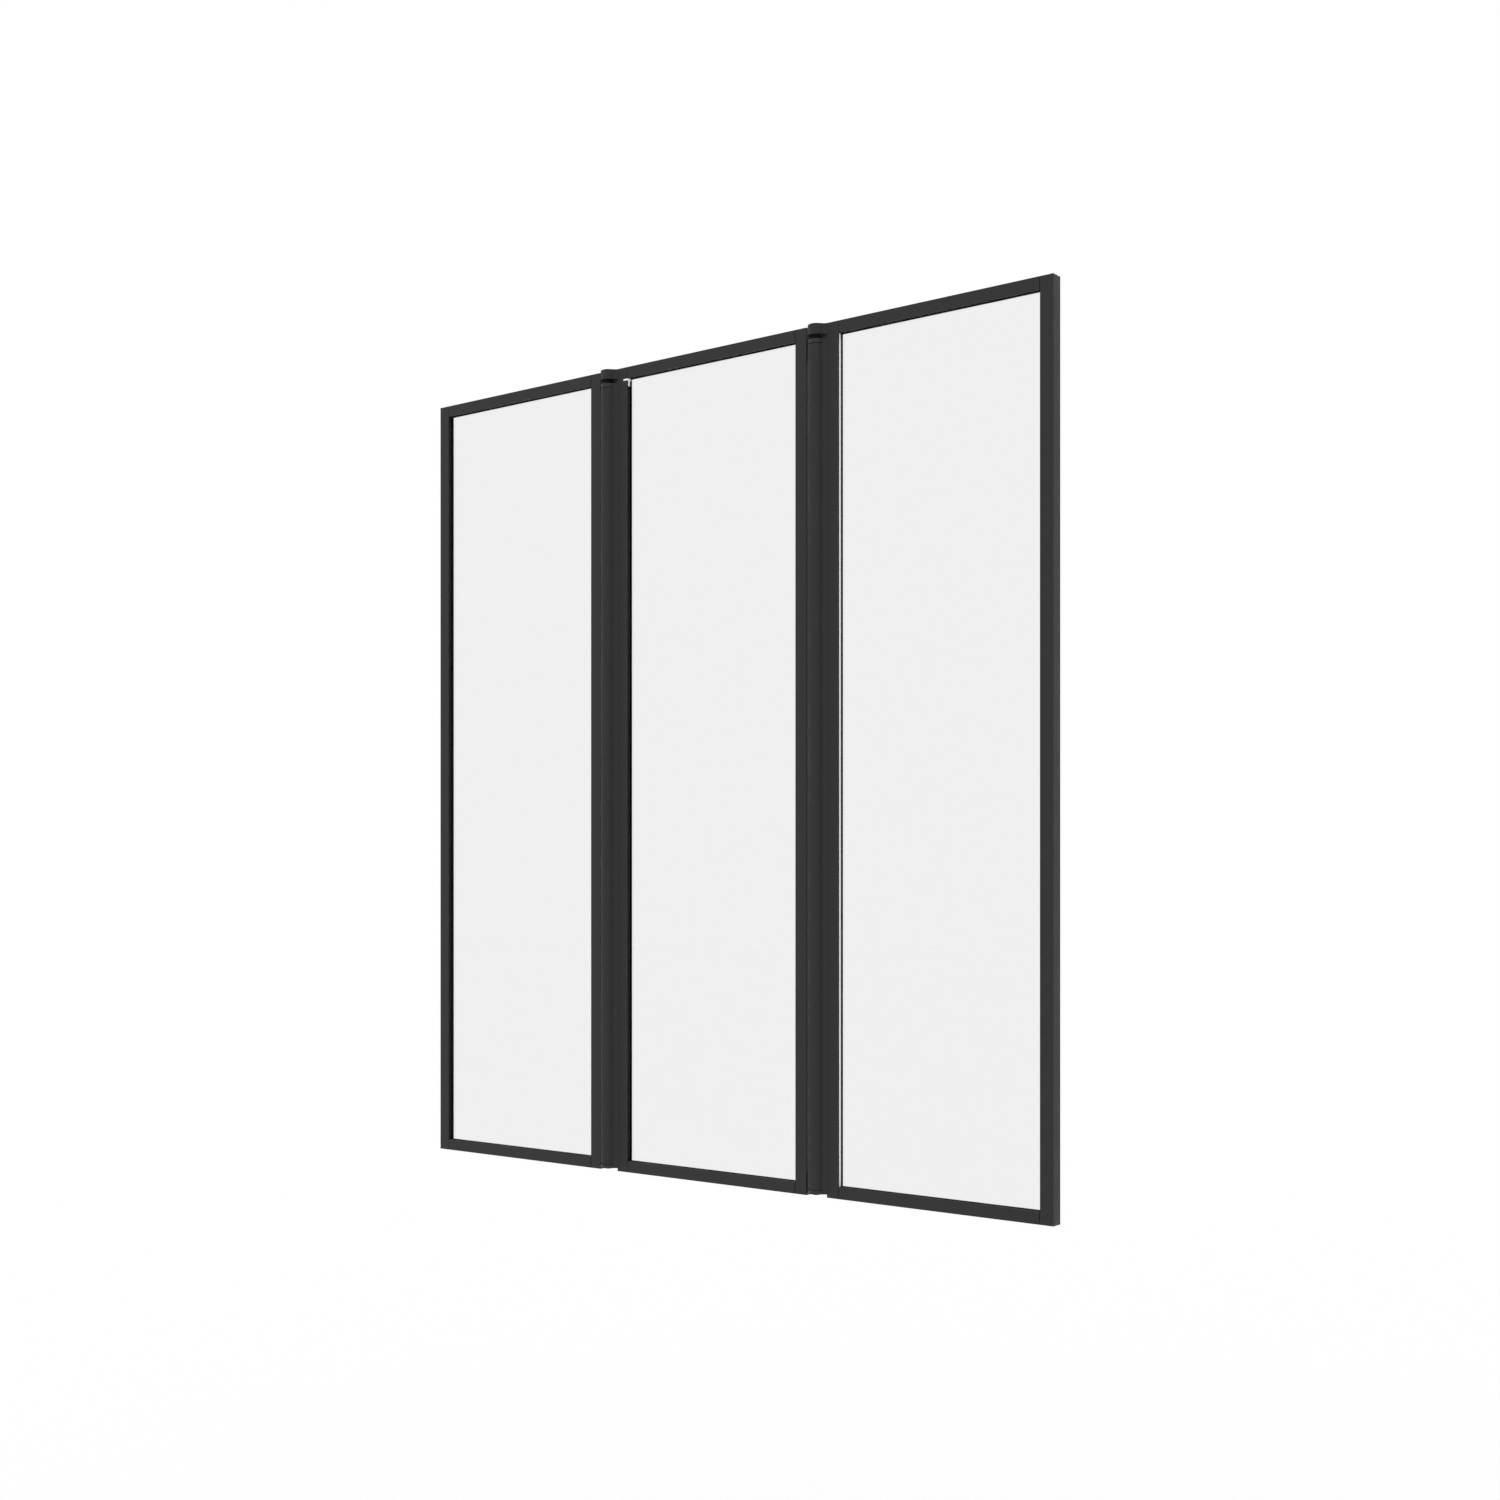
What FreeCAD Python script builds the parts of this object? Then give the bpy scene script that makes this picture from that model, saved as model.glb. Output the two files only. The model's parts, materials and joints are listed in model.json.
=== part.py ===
"""Three-panel folding shower screen: glazed aluminium frames on full-height barrel hinges.

The screen is drawn flat. X runs from the wall to the free end, Y from the front of the barrels to
the back of the frames and Z up from the bottom edge. Each piece is then shifted so that the origin
lies on the wall face, at the middle of the wall rail.
"""
import FreeCAD, Part
import math
import os
import Sketcher

# Driving dimensions, in millimetres
SIZES = {
    "screen_width": 1300,
    "screen_height": 1400,
    "hinge_gap": 40,
    "frame_depth": 22,
    "stile_face": 22.5,
    "rail_face": 19.5,
    "profile_wall": 1.8,
    "edge_radius": 0.8,
    "pocket_depth": 9.5,
    "front_lip": 2.4,
    "rear_lip": 1.2,
    "rear_bevel": 6.5,
    "glass_thickness": 5,
    "glass_bite": 8.2,
    "front_gasket": 5.1,
    "rear_gasket": 1.5,
    "gasket_height": 7,
    "strip_cutback": 13,
    "lip_notch": 3.5,
    "joint_groove": 0.7,
    "joint_depth": 1.5,
    "block_length": 60,
    "block_inset": 70,
    "end_plate": 1.5,
    "port_height": 5.2,
    "port_depth": 11.4,
    "port_wall": 2.4,
    "screw_radius": 2,
    "screw_head_radius": 3.4,
    "screw_head_height": 2.4,
    "screw_reach": 20,
    "screw_tip": 4,
    "access_radius": 3.6,
    "fit_clearance": 0.05,
    "barrel_radius": 14,
    "barrel_wall": 2.5,
    "axis_standoff": 0.5,
    "web_setback": 1.5,
    "web_thickness": 6,
    "blend_overlap": 2.5,
    "blend_step": 0.05,
    "cap_height": 17,
    "cap_edge_radius": 1.2,
    "cap_screw_drop": 5.2,
    "cap_screw_seat": 9,
    "bush_flange": 8,
    "bush_groove": 1,
    "bush_spigot": 25,
    "pin_radius": 4,
    "pin_reach": 20,
    "pin_cap_reach": 8,
    "pin_end_gap": 0.3,
    "running_gap": 0.1,
    "arm_thickness": 5,
    "arm_radius": 7,
    "arm_clearance": 0.2,
    "foot_thickness": 2.5,
    "foot_setback": 2,
    "foot_width": 15,
    "foot_height": 34,
    "foot_screw_pitch": 16,
    "foot_screw_edge": 8,
    "washer_radius": 6.6,
    "washer_thickness": 1.1,
    "lower_arm_lift": 3.2,
    "lower_arm_thickness": 1.5,
    "lower_arm_radius": 5.6,
    "lower_washer": 0.2,
    "lower_washer_radius": 5.4,
    "wall_rail_web": 2,
    "wall_rail_leg": 1.6,
    "wall_rail_depth": 8.4,
    "wall_rail_clearance": 0.3,
    "wall_hole_radius": 2.75,
    "wall_hole_edge": 100,
    "lock_inset": 5.5,
    "lock_edge": 280,
    "overrun": 1,
}

# Places and lengths that follow from the driving dimensions
LAYOUT = {
    "panel_width": "(Sizes.screen_width - 2 * Sizes.hinge_gap) / 3",
    "panel_pitch": "panel_width + Sizes.hinge_gap",
    "axis_y": "Sizes.barrel_radius",
    "front_y": "axis_y + Sizes.axis_standoff",
    "back_y": "front_y + Sizes.frame_depth",
    "middle_y": "front_y + Sizes.frame_depth / 2",
    "middle_z": "Sizes.screen_height / 2",
    "glass_y": "front_y + Sizes.front_lip + Sizes.front_gasket",
    "rear_gasket_y": "glass_y + Sizes.glass_thickness",
    "rear_lip_y": "rear_gasket_y + Sizes.rear_gasket",
    "bevel_y": "rear_lip_y + Sizes.rear_lip",
    "port_y": "front_y + Sizes.port_depth",
    "web_y": "front_y + Sizes.web_setback",
    "stile_floor": "Sizes.stile_face - Sizes.pocket_depth",
    "rail_floor": "Sizes.rail_face - Sizes.pocket_depth",
    "stile_length": "Sizes.screen_height - 2 * Sizes.end_plate",
    "rail_top_z": "Sizes.screen_height - Sizes.rail_face",
    "upper_port_z": "Sizes.screen_height - Sizes.port_height",
    "bore_radius": "Sizes.pin_radius + Sizes.fit_clearance",
    "tube_radius": "Sizes.barrel_radius - Sizes.barrel_wall",
    "hole_radius": "Sizes.screw_radius + Sizes.fit_clearance",
    "cap_z": "Sizes.screen_height - Sizes.cap_height",
    "upper_arm_z": "cap_z - Sizes.running_gap - Sizes.washer_thickness - Sizes.arm_thickness",
    "barrel_top_z": "upper_arm_z - Sizes.washer_thickness - Sizes.running_gap",
    "lower_arm_top_z": "Sizes.lower_arm_lift + Sizes.lower_arm_thickness",
    "barrel_bottom_z": "lower_arm_top_z + Sizes.lower_washer + Sizes.running_gap",
    "tube_bottom_z": "barrel_bottom_z + Sizes.bush_flange",
    "tube_top_z": "barrel_top_z - Sizes.bush_flange",
    "foot_y": "front_y + Sizes.foot_setback",
    "foot_screw_y": "foot_y + Sizes.foot_width / 2",
    "cap_screw_z": "Sizes.screen_height - Sizes.cap_screw_drop",
    "web_back_y": "web_y + Sizes.web_thickness",
    "web_middle_y": "web_y + Sizes.web_thickness / 2",
    "blend_base": "Sizes.barrel_radius - Sizes.blend_step",
    "blend_run": "Sizes.hinge_gap / 2 + Sizes.blend_overlap",
    "blend_rise": "Sizes.axis_standoff - Sizes.blend_step",
    "blend_reach": "blend_run * blend_run + blend_rise * blend_rise - blend_base * blend_base",
    "blend_radius": "blend_reach / (2 * (blend_base + blend_rise))",
    "blend_y": "front_y - Sizes.blend_step - blend_radius",
    "contact_y": "axis_y - blend_base * (blend_radius - blend_rise) / (blend_base + blend_radius)",
    "rail_channel_y": "front_y + Sizes.profile_wall + Sizes.wall_rail_clearance",
    "rail_channel_width": "Sizes.frame_depth - 2 * Sizes.profile_wall - 2 * Sizes.wall_rail_clearance",
}

PANELS = ("wall_panel", "middle_panel", "end_panel")
HINGES = ("first_hinge", "second_hinge")

# A sketch shape is drawn at this size first, and the sheet then sets its corners.
UNIT = 1.0
# Two coordinates are the same when they differ by less than this share of the piece's height.
SAME_PLACE_SHARE = 1e-6

doc = FreeCAD.newDocument("shower_screen")
nodes = []


def fill_sheet(name, cells):
    """A spreadsheet with one named cell per row."""
    sheet = doc.addObject("Spreadsheet::Sheet", name)
    for row, (alias, value) in enumerate(cells.items(), start=1):
        sheet.set(f"A{row}", alias)
        sheet.setAlias(f"B{row}", alias)
        sheet.set(f"B{row}", str(value))
    doc.recompute()
    return sheet


def size(name):
    return f"Sizes.{name}"


def place(name):
    return f"Layout.{name}"


fill_sheet("Sizes", SIZES)
fill_sheet("Layout", {alias: f"={formula}" for alias, formula in LAYOUT.items()})

FRONT, BACK = place("front_y"), place("back_y")
TOP = size("screen_height")


def panel_left(index):
    return f"{index} * {place('panel_pitch')}"


def panel_right(index):
    return f"({index} * {place('panel_pitch')} + {place('panel_width')})"


def hinge_axis(index):
    return f"({panel_right(index)} + {size('hinge_gap')} / 2)"


class Piece:
    """A body under construction: one sub-part, drawn with sketches that are tied to the sheets."""

    def __init__(self, label):
        self.label = label
        self.body = doc.addObject("PartDesign::Body", label)
        self.body.Label = label
        self.body.AllowCompound = True
        self.body.setExpression("Placement.Base.y", f"-{place('middle_y')}")
        self.body.setExpression("Placement.Base.z", f"-{place('middle_z')}")
        self.count = 0
        nodes.append(self.body)

    def sketch(self, plane, level):
        """A sketch parallel to an origin plane, moved along its normal to the given level."""
        self.count += 1
        sketch = self.body.newObject("Sketcher::SketchObject", f"{self.label}_sketch_{self.count}")
        support = [f for f in self.body.Origin.OriginFeatures if f.Role == f"{plane}_Plane"][0]
        sketch.AttachmentSupport = [(support, "")]
        sketch.MapMode = "FlatFace"
        sketch.setExpression("AttachmentOffset.Base.z", level)
        return sketch

    def feature(self, kind, sketch, length, reverse):
        feature = self.body.newObject(f"PartDesign::{kind}", f"{self.label}_{kind}_{self.count}")
        feature.Profile = sketch
        feature.Reversed = reverse
        feature.setExpression("Length", length)
        sketch.Visibility = False
        return feature

    def pad(self, plane, level, length, loops, reverse=False):
        sketch = self.sketch(plane, level)
        for loop in loops:
            loop(sketch)
        return self.feature("Pad", sketch, length, reverse)

    def cut(self, plane, level, length, loops, reverse=False):
        sketch = self.sketch(plane, level)
        for loop in loops:
            loop(sketch)
        return self.feature("Pocket", sketch, length, reverse)

    def round_edges(self, radius, wanted):
        """Fillet the edges of the last feature that the given test picks."""
        doc.recompute()
        base = self.body.Tip
        names = [f"Edge{i}" for i, edge in enumerate(base.Shape.Edges, start=1) if wanted(edge)]
        fillet = self.body.newObject("PartDesign::Fillet", f"{self.label}_edges")
        fillet.Base = (base, names)
        fillet.setExpression("Radius", radius)
        return fillet


def tie(sketch, geometry, position, x, y):
    """Tie a sketch point to sheet expressions for its two coordinates."""
    point = sketch.getPoint(geometry, position)
    for kind, value, expression in (("DistanceX", point.x, x), ("DistanceY", point.y, y)):
        index = sketch.addConstraint(Sketcher.Constraint(kind, -1, 1, geometry, position, value))
        sketch.setExpression(f"Constraints[{index}]", expression)


def outline(points):
    """A closed outline of straight lines through the given corners."""
    def draw(sketch):
        first = sketch.GeometryCount
        total = len(points)
        turns = [2 * math.pi * i / total for i in range(total)]
        centre = FreeCAD.Vector(UNIT, UNIT, 0) * 2
        spokes = [FreeCAD.Vector(math.cos(turn), math.sin(turn), 0) * UNIT for turn in turns]
        start = [centre + spoke for spoke in spokes]
        for i in range(total):
            sketch.addGeometry(Part.LineSegment(start[i], start[(i + 1) % total]), False)
        for i in range(total):
            following = first + (i + 1) % total
            sketch.addConstraint(Sketcher.Constraint("Coincident", first + i, 2, following, 1))
        for i, (x, y) in enumerate(points):
            tie(sketch, first + i, 1, x, y)
    return draw


def rectangle(x_low, y_low, x_high, y_high):
    return outline([(x_low, y_low), (x_high, y_low), (x_high, y_high), (x_low, y_high)])


def circle(x, y, radius):
    def draw(sketch):
        centre = FreeCAD.Vector(UNIT, UNIT, 0)
        index = sketch.addGeometry(Part.Circle(centre, FreeCAD.Vector(0, 0, 1), UNIT), False)
        tie(sketch, index, 3, x, y)
        limit = sketch.addConstraint(Sketcher.Constraint("Radius", index, UNIT))
        sketch.setExpression(f"Constraints[{limit}]", radius)
    return draw


def from_left(edge):
    """Distances into a profile, counted from its outer edge towards the glass."""
    return lambda distance: f"{edge} + ({distance})"


def from_right(edge):
    return lambda distance: f"{edge} - ({distance})"


def glazed_outline(face, floor, into):
    """Outer line of a frame profile: front lip, glazing pocket, rear lip with its bevel, back."""
    inner = into(face)
    return [
        (into("0"), FRONT),
        (inner, FRONT),
        (inner, f"{FRONT} + {size('front_lip')}"),
        (into(floor), f"{FRONT} + {size('front_lip')}"),
        (into(floor), place("rear_lip_y")),
        (inner, place("rear_lip_y")),
        (inner, place("bevel_y")),
        (into(f"{face} - {size('rear_bevel')}"), BACK),
        (into("0"), BACK),
    ]


def swap(points):
    return [(y, x) for x, y in points]


def stile(label, into, outer_x, opens_to_wall, from_low_side):
    """Upright profile with its hollow, the holes for the corner screws and rounded long edges."""
    piece = Piece(label)
    face, floor, wall = size("stile_face"), place("stile_floor"), size("profile_wall")
    hollow_front = f"{FRONT} + {wall}"
    hollow_back = f"{BACK} - {wall}"
    hollow_inner = into(f"{floor} - {wall}")
    shape = glazed_outline(face, floor, into)
    if opens_to_wall:
        channel = [
            (into("0"), hollow_back),
            (hollow_inner, hollow_back),
            (hollow_inner, hollow_front),
            (into("0"), hollow_front),
        ]
        loops = [outline(shape + channel)]
    else:
        loops = [outline(shape), rectangle(into(wall), hollow_front, hollow_inner, hollow_back)]
    piece.pad("XY", size("end_plate"), place("stile_length"), loops)
    piece.round_edges(size("edge_radius"), is_long_corner)
    ports = [place("upper_port_z"), size("port_height")]
    through = [circle(place("port_y"), z, place("hole_radius")) for z in ports]
    piece.cut("YZ", outer_x, f"{floor} + {size('overrun')}", through, from_low_side)
    if not opens_to_wall:
        access = [circle(place("port_y"), z, size("access_radius")) for z in ports]
        piece.cut("YZ", outer_x, wall, access, from_low_side)
    return piece


def is_long_corner(edge):
    """The upright edges on the front and back faces of a frame profile."""
    front = doc.getObject("Layout").front_y
    back = doc.getObject("Layout").back_y
    box = edge.BoundBox
    tall = box.ZLength > box.XLength + box.YLength
    offset = min(abs(box.Center.y - front), abs(box.Center.y - back))
    on_face = offset < box.ZLength * SAME_PLACE_SHARE
    return tall and on_face


def rail(label, index, into, low_level):
    """Cross profile between two stiles, with a groove at the joints and coped over their bevel."""
    piece = Piece(label)
    face, floor, wall = size("rail_face"), place("rail_floor"), size("profile_wall")
    left = f"({panel_left(index)} + {size('stile_face')})"
    right = f"({panel_right(index)} - {size('stile_face')})"
    bevel = size("rear_bevel")
    shape = swap(glazed_outline(face, floor, into))
    port = circle(place("port_y"), into(size("port_height")), place("hole_radius"))
    hollow = rectangle(
        f"{FRONT} + {wall}", into(wall),
        f"{place('port_y')} - {place('hole_radius')} - {size('port_wall')}", into(f"{floor} - {wall}"),
    )
    length = f"{right} - {left} + 2 * {bevel}"
    piece.pad("YZ", f"{left} - {bevel}", length, [outline(shape), hollow, port])
    ends = []
    for inner, outward, inward in ((left, "-", "+"), (right, "+", "-")):
        past_end = f"{inner} {outward} {bevel} {outward} {size('overrun')}"
        ends.append(outline([
            (past_end, f"{FRONT} - {size('overrun')}"),
            (f"{inner} {inward} {size('joint_groove')}", f"{FRONT} - {size('overrun')}"),
            (f"{inner} {inward} {size('joint_groove')}", f"{FRONT} + {size('joint_depth')}"),
            (inner, f"{FRONT} + {size('joint_depth')}"),
            (inner, place("bevel_y")),
            (f"{inner} {outward} {bevel}", BACK),
            (past_end, BACK),
        ]))
    piece.cut("XY", f"{low_level} - {size('overrun')}", f"{face} + 2 * {size('overrun')}", ends, True)
    return piece


def glass(label, index):
    piece = Piece(label)
    margin = f"{size('stile_face')} - {size('glass_bite')}"
    rail_margin = f"{size('rail_face')} - {size('glass_bite')}"
    pane = rectangle(
        f"{panel_left(index)} + {margin}", rail_margin,
        f"{panel_right(index)} - ({margin})", f"{TOP} - ({rail_margin})",
    )
    piece.pad("XZ", f"-{place('rear_gasket_y')}", size("glass_thickness"), [pane])
    return piece


def gasket(label, index, level, thickness, sides):
    """Glazing strips pressed between the glass and one lip of the frame, one to a side."""
    piece = Piece(label)
    left = f"({panel_left(index)} + {size('stile_face')})"
    right = f"({panel_right(index)} - {size('stile_face')})"
    bottom, top, tall = size("rail_face"), place("rail_top_z"), size("gasket_height")
    strips = {
        "left": rectangle(f"{left} - {tall}", bottom, left, top),
        "cut_left": rectangle(f"{left} - {tall}", bottom, left, f"{top} - {size('strip_cutback')}"),
        "left_end": rectangle(f"{left} - {tall}", f"{top} - {size('strip_cutback')}", left, top),
        "right": rectangle(right, bottom, f"{right} + {tall}", top),
        "bottom": rectangle(left, f"{bottom} - {tall}", right, bottom),
        "top": rectangle(left, top, right, f"{top} + {tall}"),
    }
    piece.pad("XZ", f"-({level} + {thickness})", thickness, [strips[side] for side in sides])
    return piece


def setting_blocks(label, index):
    """Rubber blocks that carry the glass on the floor of the bottom rail's pocket."""
    piece = Piece(label)
    start = f"{panel_left(index)} + {size('stile_face')} + {size('block_inset')}"
    end = f"{panel_right(index)} - {size('stile_face')} - {size('block_inset')}"
    low, high = place("glass_y"), place("rear_gasket_y")
    loops = [
        rectangle(start, low, f"{start} + {size('block_length')}", high),
        rectangle(f"{end} - {size('block_length')}", low, end, high),
    ]
    height = f"{size('rail_face')} - {size('glass_bite')} - {place('rail_floor')}"
    piece.pad("XY", place("rail_floor"), height, loops)
    return piece


def corner_screws(label, index):
    """Pan-head screws through the stiles into the ports of the rails."""
    piece = Piece(label)
    seat = f"{place('stile_floor')} - {size('profile_wall')}"
    reach = f"{size('stile_face')} - ({seat}) + {size('screw_reach')}"
    levels = (place("upper_port_z"), size("port_height"))
    shanks = [circle(place("port_y"), z, size("screw_radius")) for z in levels]
    heads = [circle(place("port_y"), z, size("screw_head_radius")) for z in levels]
    left, right = f"{panel_left(index)} + {seat}", f"{panel_right(index)} - ({seat})"
    for start, inward in ((left, True), (right, False)):
        piece.pad("YZ", start, reach, shanks, not inward)
        piece.pad("YZ", start, size("screw_head_height"), heads, inward)
    return piece


def stile_ends(label, index):
    """Plates that close the ends of both stiles, flush with the rails."""
    piece = Piece(label)
    face = size("stile_face")
    loops = []
    for into in (from_left(panel_left(index)), from_right(panel_right(index))):
        loops.append(outline([
            (into("0"), FRONT),
            (into(face), FRONT),
            (into(face), place("bevel_y")),
            (into(f"{face} - {size('rear_bevel')}"), BACK),
            (into("0"), BACK),
        ]))
    piece.pad("XY", "0", size("end_plate"), loops)
    piece.pad("XY", f"{TOP} - {size('end_plate')}", size("end_plate"), loops)
    return piece


def cut_lip_notch(piece, index):
    """Notch in the front lip of a left stile, just under the top rail."""
    edge = panel_left(index)
    notch = rectangle(
        f"{edge} + {place('stile_floor')}", f"{FRONT} - {size('overrun')}",
        f"{edge} + {size('stile_face')} + {size('overrun')}", f"{FRONT} + {size('front_lip')}",
    )
    piece.cut("XY", f"{place('rail_top_z')} - {size('lip_notch')}", size("lip_notch"), [notch], True)


def blend_hollow(index):
    """The circle that hollows the front between a barrel and its stile, and runs out on the stile."""
    return circle(f"{hinge_axis(index)} + {place('blend_run')}", place("blend_y"), place("blend_radius"))


def add_barrel(piece, index):
    """The hinge barrel of a stile: a tube in front of the edge, with a web and a hollow blend to it."""
    axis, edge, y = hinge_axis(index), panel_left(index + 1), place("axis_y")
    low, high = place("barrel_bottom_z"), place("barrel_top_z")
    full = f"{high} - {low}"
    level = place("tube_bottom_z")
    length = f"{place('tube_top_z')} - {level}"
    piece.pad("XY", low, full, [rectangle(axis, place("web_y"), edge, place("web_back_y"))])
    beside_arm = f"{axis} + {size('arm_radius')} + {size('arm_clearance')}"
    tongue = rectangle(beside_arm, place("web_y"), edge, place("web_back_y"))
    piece.pad("XY", high, f"{place('cap_z')} - {high}", [tongue])
    filling = rectangle(axis, place("contact_y"), f"{edge} + {size('blend_overlap')}", place("web_y"))
    piece.pad("XY", low, full, [filling])
    piece.cut("XY", low, full, [blend_hollow(index)], True)
    piece.pad("XY", level, length, [circle(axis, y, size("barrel_radius"))])
    piece.cut("XY", level, length, [circle(axis, y, place("tube_radius"))], True)
    recess = circle(axis, y, f"{size('barrel_radius')} + {size('fit_clearance')}")
    piece.cut("XY", low, size("bush_flange"), [recess], True)
    piece.cut("XY", place("tube_top_z"), size("bush_flange"), [recess], True)
    screw_hole = circle(place("web_middle_y"), place("cap_screw_z"), place("hole_radius"))
    piece.cut("YZ", edge, size("profile_wall"), [screw_hole], True)


def add_foot_holes(piece, index):
    """Holes for the screws of the hinge arms, in the edge of the stile that carries them."""
    holes = [circle(place("foot_screw_y"), z, place("hole_radius")) for z in foot_screw_levels()]
    piece.cut("YZ", panel_right(index), size("profile_wall"), holes)


def foot_screw_levels():
    edge, pitch = size("foot_screw_edge"), size("foot_screw_pitch")
    upper_end = f"{place('upper_arm_z')} + {size('arm_thickness')} - {size('foot_height')}"
    lower_end = f"{size('lower_arm_lift')} + {size('foot_height')}"
    return [
        f"{upper_end} + {edge}",
        f"{upper_end} + {edge} + {pitch}",
        f"{lower_end} - {edge}",
        f"{lower_end} - {edge} - {pitch}",
    ]


def hinge_cap(label, index):
    """Cap above the barrel, in the same outline, with a blind bore for the upper pin."""
    piece = Piece(label)
    axis, edge = hinge_axis(index), panel_left(index + 1)
    level, height = place("cap_z"), size("cap_height")
    piece.pad("XY", level, height, [rectangle(axis, place("web_y"), edge, place("web_back_y"))])
    piece.pad("XY", level, height, [circle(axis, place("axis_y"), size("barrel_radius"))])
    piece.round_edges(size("cap_edge_radius"), is_cap_rim)
    past_edge = f"{edge} + {size('blend_overlap')}"
    filling = outline([
        (axis, place("contact_y")),
        (past_edge, place("contact_y")),
        (past_edge, FRONT),
        (edge, FRONT),
        (edge, place("web_y")),
        (axis, place("web_y")),
    ])
    piece.pad("XY", level, height, [filling])
    piece.cut("XY", level, height, [blend_hollow(index)], True)
    bore = circle(axis, place("axis_y"), place("bore_radius"))
    piece.cut("XY", place("cap_z"), size("pin_cap_reach"), [bore], True)
    seat = f"{axis} - {size('cap_screw_seat')}"
    shank = circle(place("web_middle_y"), place("cap_screw_z"), place("hole_radius"))
    head = circle(place("web_middle_y"), place("cap_screw_z"), size("access_radius"))
    piece.cut("YZ", seat, f"{size('cap_screw_seat')} + {size('hinge_gap')} / 2", [shank], True)
    piece.cut("YZ", seat, size("barrel_radius"), [head])
    return piece


def is_cap_rim(edge):
    """The round edge on top of a hinge cap."""
    top = doc.getObject("Sizes").screen_height
    box = edge.BoundBox
    return abs(box.ZMin - top) < top * SAME_PLACE_SHARE and "Circle" in edge.Curve.TypeId


def cap_screw(label, index):
    piece = Piece(label)
    seat = f"{hinge_axis(index)} - {size('cap_screw_seat')}"
    shank = circle(place("web_middle_y"), place("cap_screw_z"), size("screw_radius"))
    head = circle(place("web_middle_y"), place("cap_screw_z"), size("screw_head_radius"))
    through = f"{size('cap_screw_seat')} + {size('hinge_gap')} / 2 + {size('profile_wall')}"
    piece.pad("YZ", seat, f"{through} + {size('screw_tip')}", [shank])
    piece.pad("YZ", seat, size("screw_head_height"), [head], True)
    return piece


def bush(label, index, flange_level, spigot_level, upward):
    """Flanged bearing bush that plugs one end of the barrel, with a groove between flange and tube."""
    piece = Piece(label)
    axis, y, groove = hinge_axis(index), place("axis_y"), size("bush_groove")
    spigot = f"{place('tube_radius')} - {size('fit_clearance')}"
    rim_level = flange_level if upward else f"{flange_level} + {groove}"
    rim = circle(axis, y, size("barrel_radius"))
    piece.pad("XY", rim_level, f"{size('bush_flange')} - {groove}", [rim])
    neck = circle(axis, y, f"{size('barrel_radius')} - {groove}")
    piece.pad("XY", spigot_level, groove, [neck], upward)
    piece.pad("XY", spigot_level, size("bush_spigot"), [circle(axis, y, spigot)], not upward)
    length = f"{size('bush_flange')} + {size('bush_spigot')}"
    start = flange_level if upward else f"{flange_level} + {size('bush_flange')}"
    piece.cut("XY", start, length, [circle(axis, y, place("bore_radius"))], upward)
    return piece


def hinge_arm(label, index, level, thickness, radius, foot_level):
    """Arm from the edge of a stile to the hinge axis, with a screwed foot along the stile."""
    piece = Piece(label)
    axis, edge, y = hinge_axis(index), panel_right(index), place("axis_y")
    piece.pad("XY", level, thickness, [circle(axis, y, radius)])
    piece.pad("XY", level, thickness, [rectangle(edge, FRONT, axis, f"{y} + {radius}")])
    foot = rectangle(
        edge, place("foot_y"),
        f"{edge} + {size('foot_thickness')}", f"{place('foot_y')} + {size('foot_width')}",
    )
    piece.pad("XY", foot_level, size("foot_height"), [foot])
    piece.cut("XY", level, thickness, [circle(axis, y, place("bore_radius"))], True)
    return piece


def drill_foot(piece, index, levels):
    holes = [circle(place("foot_screw_y"), z, place("hole_radius")) for z in levels]
    piece.cut("YZ", panel_right(index), size("foot_thickness"), holes, True)


def arm_screws(label, index):
    piece = Piece(label)
    seat = f"{panel_right(index)} + {size('foot_thickness')}"
    reach = f"{size('foot_thickness')} + {size('profile_wall')} + {size('screw_tip')}"
    levels = foot_screw_levels()
    shanks = [circle(place("foot_screw_y"), z, size("screw_radius")) for z in levels]
    piece.pad("YZ", seat, reach, shanks, True)
    heads = [circle(place("foot_screw_y"), z, size("screw_head_radius")) for z in levels]
    piece.pad("YZ", seat, size("screw_head_height"), heads)
    return piece


def pin(label, index, level, length):
    piece = Piece(label)
    piece.pad("XY", level, length, [circle(hinge_axis(index), place("axis_y"), size("pin_radius"))])
    return piece


def washers(label, index):
    """Thrust washers: above and below the upper arm, and on top of the lower arm."""
    piece = Piece(label)
    axis, y = hinge_axis(index), place("axis_y")
    ring = [circle(axis, y, size("washer_radius")), circle(axis, y, place("bore_radius"))]
    upper = place("upper_arm_z")
    piece.pad("XY", f"{upper} + {size('arm_thickness')}", size("washer_thickness"), ring)
    piece.pad("XY", f"{upper} - {size('washer_thickness')}", size("washer_thickness"), ring)
    ring = [circle(axis, y, size("lower_washer_radius")), circle(axis, y, place("bore_radius"))]
    piece.pad("XY", place("lower_arm_top_z"), size("lower_washer"), ring)
    return piece


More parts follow.
